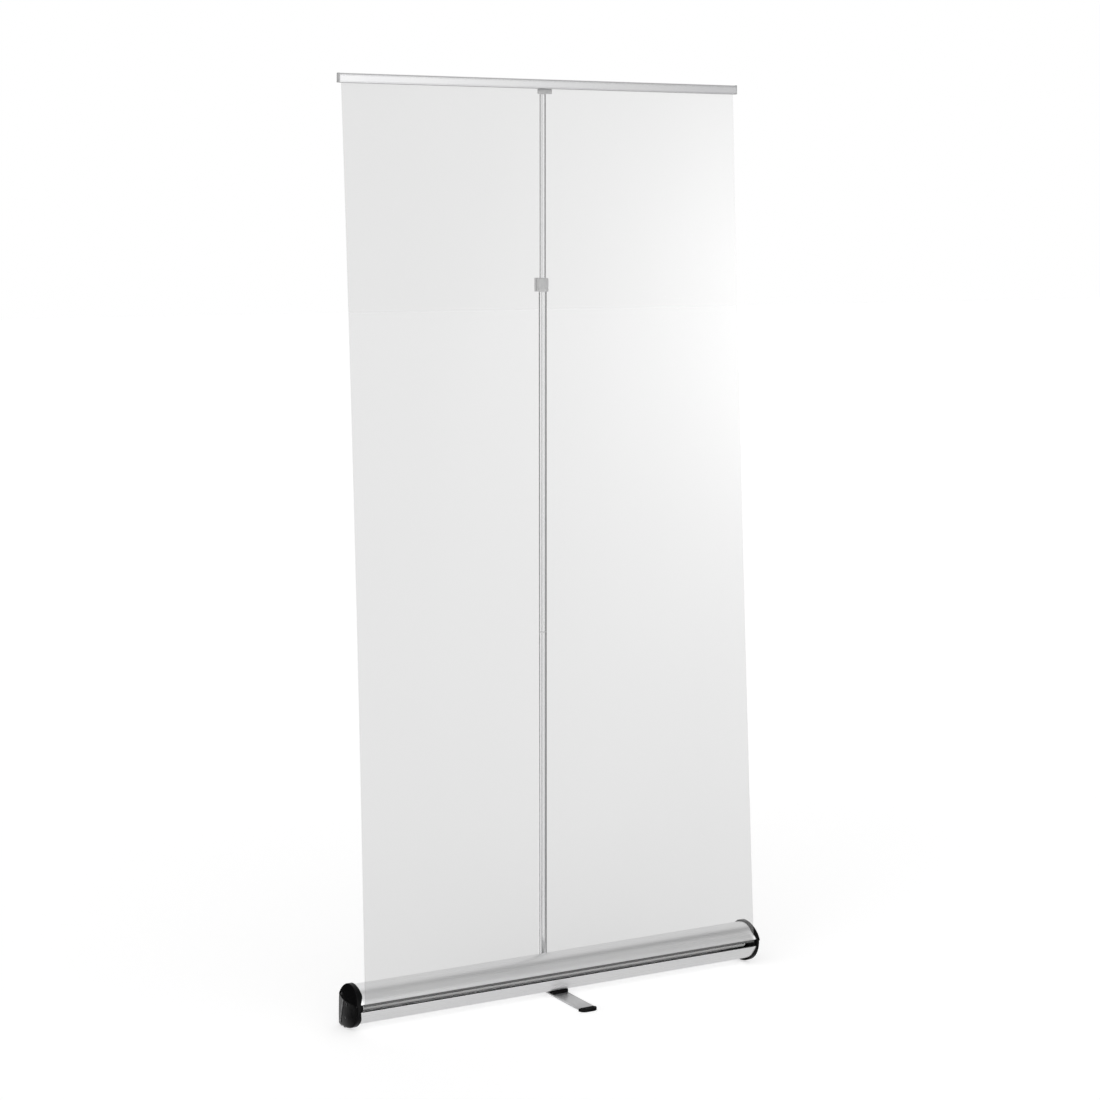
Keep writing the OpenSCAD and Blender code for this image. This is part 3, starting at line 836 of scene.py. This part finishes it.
def film_feed():
    """The sheet between the roll and the slot's upper lip, bent round the lip."""
    radius = ROLL_R + 0.6
    away = math.hypot(ROLLER_Y - LIP_Y, ROLLER_Z - LIP_Z)
    tangent = math.sqrt(away ** 2 - radius ** 2)
    tilt = math.atan2(ROLLER_Z - LIP_Z, ROLLER_Y - LIP_Y) + math.asin(radius / away)
    start = (LIP_Y + tangent * math.cos(tilt), LIP_Z + tangent * math.sin(tilt))
    end = (LIP_Y + 1.6, LIP_Z - 0.8)
    steps = 8
    path = [(start[0] + (end[0] - start[0]) * i / steps, start[1] + (end[1] - start[1]) * i / steps)
            for i in range(steps + 1)]
    path += [(LIP_Y + 0.7, LIP_Z - 0.75), (LIP_Y + 0.15, LIP_Z - 0.4), (LIP_Y + 0.02, LIP_Z - 0.05)]
    verts, faces = [], []
    for y, z in path:
        verts += [(-HALF_FILM, y, z), (HALF_FILM, y, z)]
    for i in range(len(path) - 1):
        faces.append((2 * i, 2 * i + 1, 2 * i + 3, 2 * i + 2))
    shape = Shape()
    shape.verts, shape.faces = verts, faces
    shape.make("film_to_roller", FILM, "cassette", "film", ["film_feed"], sharp=60, solid=False)


# -------------------- foot

BOLT_R = 4.0


def foot():
    low, high = box_mm("foot_bar")
    half_w = high.x
    top, base = high.z, low.z
    groove, deep, groove_x = 0.5, 0.35, 17.5
    r, r_low = 1.2, 0.8
    outline = arc(half_w - r, base + r_low, r, r_low, 270, 360, 4) + arc(half_w - r, top - r, r, r, 0, 90, 6)
    for x in (groove_x, -groove_x):
        outline += [(x + groove + 0.3, top), (x + groove, top - deep)]
        outline += [(x - groove, top - deep), (x - groove - 0.3, top)]
    outline += arc(r - half_w, top - r, r, r, 90, 180, 6)
    outline += arc(r - half_w, base + r_low, r, r_low, 180, 270, 4)
    bar = Shape().prism(outline, low.y, high.y, "y")
    obj = bar.make("foot_plate", ALUMINIUM_Y, "foot", "anodised", ["foot_bar"])
    drill(obj, 0, 0, BOLT_R + 0.05, base - 1, top + 1)
    for side, node in ((-1, "foot_tip_front"), (1, "foot_tip_rear")):
        foot_tip(side, node)
    pivot()


def foot_tip(side, node):
    """A bull-nosed moulding over the bar's end, with a raised panel on top."""
    low, high = box_mm(node)
    half_w, corner, reach = high.x, 14.0, 15.0
    far = low.y if side < 0 else high.y
    near = far - side * reach
    middle = far - side * corner

    def nosed(half, start, radius):
        """Anticlockwise outline, square at the bar and round at the far end."""
        points = [(half, start)] + arc(half_w - corner, middle, radius, side * radius, 0, 90, 12)
        points += arc(corner - half_w, middle, radius, side * radius, 90, 180, 12) + [(-half, start)]
        return points if side > 0 else points[::-1]

    shape = Shape().prism(nosed(half_w, near, corner), low.z, high.z, round_low=0.6, round_high=2.0, steps=6)
    inset, proud = 5.0, 0.35
    panel = nosed(half_w - inset, near + side * 3.0, corner - inset)
    shape.prism(panel, high.z - 1.0, high.z + proud, round_high=proud)
    shape.make(node + "_moulding", BLACK, "foot", "black", [node])


def pivot():
    """Bearing plate under the cassette with its bolt and nut."""
    low, high = box_mm("foot_pivot_plate")
    plate = Shape().prism(rounded(low.x, low.y, high.x, high.y, 3.0), low.z, high.z, round_low=0.6)
    obj = plate.make("pivot_plate_moulding", BLACK, "cassette", "black", ["foot_pivot_plate"])
    drill(obj, 0, 0, BOLT_R + 0.05, low.z - 1, high.z + 1)
    low, high = box_mm("foot_pivot_bolt")
    head, flat, tip = high.x, low.z + 0.6, 0.8
    profile = [(0.0, low.z), (head - 0.3, low.z), (head, low.z + 0.3), (head, flat), (BOLT_R, flat),
               (BOLT_R, high.z - tip), (BOLT_R - tip, high.z), (0.0, high.z)]
    bolt = Shape().turned(profile, (0, 0, 0), count=40)
    bolt.make("pivot_bolt", STEEL, "cassette", "steel", ["foot_pivot_bolt"])
    low, high = box_mm("foot_pivot_nut")
    nut = Shape().prism(circle(0, 0, 7.5, 6), low.z, high.z)
    obj = nut.make("pivot_nut", STEEL, "cassette", "steel", ["foot_pivot_nut"], edge=0.4)
    drill(obj, 0, 0, BOLT_R + 0.02, low.z - 1, high.z + 1)


# -------------------- pole


def pole():
    centre = (0, POLE_Y, 0)
    for name, body in (("lower_tube", "cassette"), ("middle_tube", "cassette"), ("upper_tube", "pole_top")):
        low, high = box_mm("pole_" + name)
        r = high.x
        tube = Shape().turned(ring_profile(r - TUBE_WALL, r, low.z, high.z, 0.25), centre, count=72)
        tube.make(name, ALUMINIUM_Z, body, "anodised", ["pole_" + name])
    low, high = box_mm("pole_joint_sleeve")
    r = high.x
    inner = 7.78
    mid = (low.z + high.z) / 2 + 0.5
    rod = rod_profile(inner, low.z, high.z, 0.8)
    collar_ring = [(inner, mid - 0.45), (r - 0.2, mid - 0.45), (r, mid - 0.2), (r, mid + 0.2),
                   (r - 0.2, mid + 0.45), (inner, mid + 0.45)]
    sleeve = Shape().turned(rod[:3] + collar_ring + rod[3:], centre)
    sleeve.make("joint_sleeve", GREY, "cassette", "grey", ["pole_joint_sleeve"])
    low, high = box_mm("pole_upper_bush")
    r = high.x
    profile = [(0.0, low.z), (r - 0.5, low.z), (r, low.z + 0.5), (r, low.z + 3.9), (5.78, low.z + 3.95),
               (5.78, high.z - 0.8), (5.0, high.z), (0.0, high.z)]
    bush = Shape().turned(profile, centre, count=48)
    bush.make("upper_bush", GREY, "pole_top", "grey", ["pole_upper_bush"])
    socket()
    collar()
    hook()


def socket():
    """Bracket behind the cassette that the pole stands in: a cup on a screwed plate with two gussets."""
    low, high = box_mm("pole_socket")
    floor = low.z + 8.0
    bore = 9.05
    profile = [(0.0, low.z), (12.2, low.z), (13.0, low.z + 0.8), (13.0, high.z - 4.0), (14.0, high.z - 3.2),
               (14.0, high.z - 0.8), (13.4, high.z), (bore + 0.8, high.z), (bore, high.z - 0.8),
               (bore, floor), (0.0, floor)]
    cup = Shape().turned(profile, (0, POLE_Y, 0))
    cup.make("socket_cup", BLACK, "cassette", "black", ["pole_socket"])
    plate_low = low.y
    face = rounded(-32.0, 24.0, 32.0, 56.0, 5.0)
    plate = Shape().prism(face, plate_low, plate_low + 4.0, "y", round_high=1.0)
    gusset = [(plate_low + 3.5, low.z + 1.0), (POLE_Y - 9.5, low.z + 1.0), (POLE_Y - 9.5, high.z - 6.0),
              (plate_low + 3.5, high.z - 16.0)]
    for side in (-1, 1):
        x = side * 8.5
        plate.prism(gusset, x - 1.5, x + 1.5, "x")
    plate.prism(rounded(-11.0, plate_low + 0.2, 11.0, POLE_Y - 9.8, 0.6), low.z + 1.0, low.z + 5.0)
    plate.make("socket_plate", BLACK, "cassette", "black", edge=0.4)
    screws, crosses = Shape(), Shape()
    head, height = box_mm("socket_screws")[1].y + 0.3, 40.0
    profile = [(0.0, head - 12), (2.0, head - 12), (2.0, head - 2.0), (3.8, head - 2.0), (3.8, head - 1.1),
               (3.2, head - 0.4), (2.0, head), (0.0, head)]
    for x in (-22.0, 22.0):
        screws.turned(profile, (x, 0, height), "y", count=32)
        crosses.add(cross_recess(x, head, height, "y"))
    cut(screws.make("socket_screw_pair", STEEL, "cassette", "steel", ["socket_screws"]), crosses)


def collar():
    """Clamp on the middle tube's head, with its pin and cam lever."""
    low, high = COLLAR_LOW.z, COLLAR_HIGH.z
    tube_end = box_mm("pole_middle_tube")[1].z
    r = COLLAR_R
    step, wide, narrow = tube_end + 0.06, 9.03, 7.06
    profile = [(wide, low), (r - 1.6, low), (r - 0.4, low + 0.8), (r, low + 2.0), (r, low + 6.4),
               (r - 0.9, low + 7.2), (r - 0.9, low + 8.8), (r - 0.2, low + 9.6), (r - 0.2, high - 4.0),
               (r - 0.6, high - 2.0), (r - 2.2, high - 0.6), (r - 3.4, high), (narrow, high),
               (narrow, step), (wide, step)]
    shape = Shape().turned(profile, (0, POLE_Y, 0))
    for angle in (238, 262, 286, 310):
        a = math.radians(angle)
        x, y = (r - 0.5) * math.cos(a), POLE_Y + (r - 0.5) * math.sin(a)
        shape.prism(circle(x, y, 1.1, 12), low + 10.5, high - 4.5, round_low=0.5, round_high=0.5)
    obj = shape.make("collar_body", GREY, "cassette", "grey", ["clamp_collar"])
    front, back = POLE_Y + 8.0, POLE_Y + 16.0
    slit = [(-1.0, front), (1.0, front), (1.0, back), (-1.0, back)]
    cut(obj, Shape().prism(slit, tube_end + 1.0, high + 1.0))
    mid = (low + high) / 2
    outline = arc(PIN_X, PIN_Y, 5.0, 5.0, -38, 142, 16) + arc(5.0, POLE_Y + 5.0, 4.0, 4.0, 142, 322, 12)
    ear = Shape().prism(outline, mid - EAR_HALF, mid + EAR_HALF, round_low=0.6, round_high=0.6)
    ear.make("collar_ear", GREY, "cassette", "grey")
    pin = Shape().turned(rod_profile(2.0, low, high, 0.4), (PIN_X, PIN_Y, 0), count=28)
    pin.make("lever_pin", STEEL, "cassette", "steel", ["clamp_pin"])
    lever(low, high, mid)


def lever(low, high, mid):
    """Forked cam lever: two tines round the pin, an arm across the collar's back and a ribbed thumb end."""
    arm_back = PIN_Y + 2.6
    arm_front = PIN_Y - 2.6
    plan = arc(-8.0, PIN_Y + 0.5, 3.0, 3.0, 100, 250, 10)
    plan += [(-7.0, arm_front), (6.5, arm_front), (6.5, arm_back)]
    shape = Shape().prism(plan, low, high, round_low=0.8, round_high=0.8)
    tine = [(6.3, arm_front), (PIN_X, arm_front - 1.2)] + arc(PIN_X, PIN_Y, 3.8, 3.8, -90, 90, 12)
    tine += [(PIN_X, arm_back + 1.2), (6.3, arm_back)]
    tine_h = mid - EAR_HALF - low - 0.4
    for z in (low, high - tine_h):
        shape.prism(tine, z, z + tine_h, round_low=0.5, round_high=0.5)
    for i in range(5):
        shape.prism(circle(-7.5 + 1.8 * i, arm_back, 0.55, 6), low + 3.0, high - 3.0)
    obj = shape.make("lever_arm", GREY, "lever", "grey", ["clamp_lever"])
    drill(obj, PIN_X, PIN_Y, 2.05, low - 1, high + 1, sides=24)


def hook():
    """Block under the rail: wide front plate, boss round the tube's end, upstand behind the rail."""
    base, top = HOOK_LOW.z, BACK_LOW.z - 0.3
    front = HOOK_LOW.y
    plate = rounded(-17.0, base, 17.0, top, 1.5)
    shape = Shape().prism(plate, front, front + 6.0, "y", round_low=0.6, round_high=0.4)
    shape.prism(rounded(-9.5, front + 3.0, 9.5, POLE_Y, 0.8), base + 0.2, top - 0.05, round_low=0.4)
    upstand = rounded(-9.4, BACK_HIGH.y + 0.3, 9.4, BACK_HIGH.y + 3.5, 1.0)
    shape.prism(upstand, top - 2.0, HOOK_HIGH.z, round_high=1.0)
    obj = shape.make("hook_block", GREY, "pole_top", "grey", ["pole_hook"])
    drill(obj, 0, POLE_Y, 9.0, base - 1, top + 0.2, sides=60)
    bore, floor_z = 7.03, base + 6.1
    profile = [(bore, base), (9.1, base), (9.5, base + 0.5), (9.5, top - 0.6), (8.9, top), (0.0, top),
               (0.0, floor_z), (bore, floor_z)]
    Shape().turned(profile, (0, POLE_Y, 0)).make("hook_boss", GREY, "pole_top", "grey")


# -------------------- clamp rail


def rail():
    """Hinged clamp rail: front strip with edge beads and grooves, back strip, grip strip and end plugs."""
    y0, z0, z1 = FRONT_LOW.y, FRONT_LOW.z, FRONT_HIGH.z
    skin = 1.4
    knuckle, bore = 3.4, BEAD_R + 0.06
    open_low, open_high = -28.0, 66.0
    top = BEAD_Z + 2.4
    outline = [(y0 + 0.5, z0), (RAIL_Y - 2.3, z0), (RAIL_Y - 2.3, z0 + skin), (y0 + skin, z0 + skin)]
    outline += [(y0 + skin, BEAD_Z - 1.6), (RAIL_Y - knuckle + 0.4, BEAD_Z - 1.6)]
    outline += arc(RAIL_Y, BEAD_Z, knuckle, knuckle, 208, 360 + open_low, 14)
    outline += arc(RAIL_Y, BEAD_Z, bore, bore, 360 + open_low, open_high, 26)
    outline += arc(RAIL_Y, BEAD_Z, knuckle, knuckle, open_high, 138, 8)
    outline += arc(y0 + 3.4, top - 3.4, 3.4, 3.4, 90, 180, 8)
    for z in (z1 - 4.6, z0 + 2.4):
        outline += [(y0, z + 0.8), (y0 + 1.0, z + 0.5), (y0 + 1.0, z - 0.5), (y0, z - 0.8)]
    outline += arc(y0 + 0.8, z0 + 0.8, 0.8, 0.8, 180, 250, 3)
    half = FRONT_HIGH.x
    strip = Shape().prism(outline, -half, half, "x")
    strip.make("rail_front_strip", ALUMINIUM_RAIL, "rail_jaw", "anodised", ["rail_front"])
    back, half = BACK_HIGH.y, BACK_HIGH.x
    web = 0.7
    crest = BACK_HIGH.z
    out = [(RAIL_Y + 0.55, z0 + 0.3), (RAIL_Y + 0.85, z0), (back - 0.6, z0), (back, z0 + 0.6)]
    out += [(back, crest - 0.8), (back - 0.5, crest), (back - 1.0, crest), (back - skin, crest - 0.5)]
    out += [(back - skin, BEAD_Z + web), (RAIL_Y + 1.66, BEAD_Z + web)]
    out += arc(RAIL_Y, BEAD_Z, BEAD_R, BEAD_R, 24, 336, 22)
    out += [(back - skin, BEAD_Z - web), (back - skin, z0 + skin), (RAIL_Y + 1.75, z0 + skin)]
    out += [(RAIL_Y + 1.75, z0 + 4.8), (RAIL_Y + 1.5, z0 + 5.0)]
    out += [(RAIL_Y + 0.8, z0 + 5.0), (RAIL_Y + 0.55, z0 + 4.8)]
    strip = Shape().prism(out, -half, half, "x")
    strip.make("rail_back_strip", ALUMINIUM_RAIL, "rail", "anodised", ["rail_back"])
    low, high = box_mm("rail_grip_strip")
    teeth = [(low.y, low.z), (high.y, low.z)]
    for i in range(5):
        z = low.z + 1.0 * i
        teeth += [(high.y, z + 0.2), (high.y - 0.35, z + 0.6)] if i else [(high.y - 0.35, z + 0.6)]
    teeth += [(high.y, high.z), (low.y, high.z)]
    grip = Shape().prism(teeth, low.x, high.x, "x")
    grip.make("grip_strip", RUBBER, "rail_jaw", "rubber", ["rail_grip_strip"])
    for side, node in ((-1, "rail_cap_left"), (1, "rail_cap_right")):
        rail_cap(side, node)


def rail_cap(side, node):
    """Plug in the rail's end: a waisted plate with a round boss over the hinge and a tongue inside."""
    low, high = box_mm(node)
    outer = high.x if side > 0 else -low.x
    inner = outer - 3.0
    y0, y1, z0, z1 = low.y, high.y, low.z, high.z
    shape = Shape().prism(rounded(y0, z0, y1, z1, 1.6), inner, outer - 0.7, "x", round_high=0.6)
    shape.turned([(0.0, inner + 0.5), (4.2, inner + 0.5), (4.2, outer - 0.5), (3.7, outer), (0.0, outer)],
                 (0, RAIL_Y, z1 - 4.4), "x", count=32)
    rib = rounded(y0 + 0.6, z0 + 0.4, y1 - 0.6, z0 + 3.4, 1.2)
    shape.prism(rib, inner + 0.5, outer - 0.1, "x", round_high=0.4)
    tongue = rounded(RAIL_Y + 2.2, z0 + 6.0, RAIL_Y + 4.4, z0 + 14.0, 0.5)
    shape.prism(tongue, inner - 12.0, inner + 0.3, "x")
    shape.verts = [(side * x, y, z) for x, y, z in shape.verts]
    shape.make(node + "_moulding", PLUG_GREY, "rail", "grey", [node])


cassette()
end_cap(-1, "cap_left_moulding", "end_cap_left")
end_cap(1, "cap_right_moulding", "end_cap_right")
cap_screws()
floor_pads()
roller()
rail()
sheet = film_sheet()
film_feed()
foot()
pole()

# -------------------- camera, light and stage


def camera():
    data = bpy.data.cameras.new("camera")
    data.lens = CAMERA_LENS
    data.sensor_width = CAMERA_SENSOR
    data.shift_y = CAMERA_SHIFT_Y
    data.clip_end = 100.0
    obj = linked("camera", data)
    obj.location = CAMERA_AT
    obj.rotation_euler = (math.radians(90 - CAMERA_PITCH), 0, math.radians(-CAMERA_YAW))
    bpy.context.scene.camera = obj


def area_light(name, at, aim, size, energy):
    """A rectangular light that gloss doesn't see; places and sizes are in metres."""
    data = bpy.data.lights.new(name, "AREA")
    data.shape = "RECTANGLE"
    data.size, data.size_y = size
    data.energy = energy
    obj = linked(name, data)
    obj.location = at
    direction = Vector(aim) - Vector(at)
    obj.rotation_euler = direction.to_track_quat("-Z", "Y").to_euler()
    obj.visible_camera = False
    obj.visible_glossy = False
    return obj


def only(light, name, objects, blockers=False):
    """Lets a light reach some objects only; with blockers, only they stand in its way."""
    group = bpy.data.collections.new(name)
    for obj in objects:
        group.objects.link(obj)
    light.light_linking.receiver_collection = group
    if blockers:
        light.light_linking.blocker_collection = group


def heading(azimuth, elevation):
    """Direction at an azimuth from the front towards +X, and an elevation, in degrees."""
    a, e = math.radians(azimuth), math.radians(elevation)
    return (math.sin(a) * math.cos(e), -math.cos(a) * math.cos(e), math.sin(e))


# what gloss and metal see: (azimuth, elevation, inner and outer angle, brightness)
STUDIO = (
    (0, 90, 20, 50, 0.85),
    (86, -4, 34, 50, 0.25),
    (100, 38, 14, 30, 0.14),
    (150, 30, 22, 48, 1.0),
    (-75, -5, 30, 44, 1.6),
    (-25, 5, 48, 60, 1.9),
    (14, 4, 7, 15, 2.3),
    (-140, -24, 14, 24, 0.1),
    (-172, -25, 14, 24, 2.4),
    (-152, 24, 33, 38, 0.03),
)
SKY = 0.95
GROUND = 0.72
HORIZON = (-0.06, 0.03)  # height of the direction, where ground turns into sky


def studio():
    """A white room for the camera; what gloss and metal see is a soft, uneven studio."""
    world = bpy.data.worlds.new("studio")
    bpy.context.scene.world = world
    world.use_nodes = True
    tree = Tree(world.node_tree)
    tree.nodes.clear()
    direction = tree.node("TexCoord").outputs["Generated"]
    axes = tree.node("SeparateXYZ")
    tree.link(direction, axes.inputs["Vector"])
    seen = tree.remap(axes.outputs["Z"], GROUND, SKY, *HORIZON, kind="SMOOTHSTEP")
    for azimuth, elevation, inner, outer, brightness in STUDIO:
        near = tree.node("VectorMath", operation="DOT_PRODUCT")
        near.inputs[1].default_value = heading(azimuth, elevation)
        tree.link(direction, near.inputs[0])
        edges = (math.cos(math.radians(angle)) for angle in (outer, inner))
        share = tree.remap(near.outputs["Value"], 0.0, 1.0, *edges, kind="SMOOTHSTEP")
        mix = tree.node("Mix", data_type="FLOAT")
        mix.inputs["B"].default_value = brightness
        tree.link(share, mix.inputs["Factor"])
        tree.link(seen, mix.inputs["A"])
        seen = mix.outputs["Result"]
    light = tree.node("Background")
    tree.link(seen, light.inputs["Strength"])
    white = tree.node("Background")
    white.inputs["Color"].default_value = (1, 1, 1, 1)
    mix = tree.node("MixShader")
    tree.link(tree.node("LightPath").outputs["Is Camera Ray"], mix.inputs["Fac"])
    tree.link(light.outputs["Background"], mix.inputs[1])
    tree.link(white.outputs["Background"], mix.inputs[2])
    out = tree.node("OutputWorld")
    tree.link(mix.outputs["Shader"], out.inputs["Surface"])


def floor():
    """A white floor, as bright as the room, that gloss doesn't see."""
    shader = Shader("floor", (0.6, 0.6, 0.6), roughness=0.9)
    shader.main.inputs["Emission Color"].default_value = (1, 1, 1, 1)
    shader.main.inputs["Emission Strength"].default_value = 0.57
    mesh = bpy.data.meshes.new("floor")
    half, z = 40.0, -0.0002
    corners = [(-half, -half, z), (half, -half, z), (half, half, z), (-half, half, z)]
    mesh.from_pydata(corners, [], [(0, 1, 2, 3)])
    mesh.materials.append(shader.material)
    obj = linked("floor", mesh)
    obj.visible_glossy = False


camera()
studio()
floor()
key = area_light("film_key", (1.0, -0.62, 1.55), (0.45, 0.0, 1.5), (0.5, 0.5), 34.0)
only(key, "lit_by_key", [sheet])
glow = area_light("slot_glow", (0.0, -1.3, 0.22), (0.0, 0.0, 0.05), (1.6, 0.3), 24.0)
only(glow, "lit_in_slot", [bpy.data.objects["film_on_roller"]], blockers=True)
bpy.context.scene.view_settings.view_transform = "Standard"
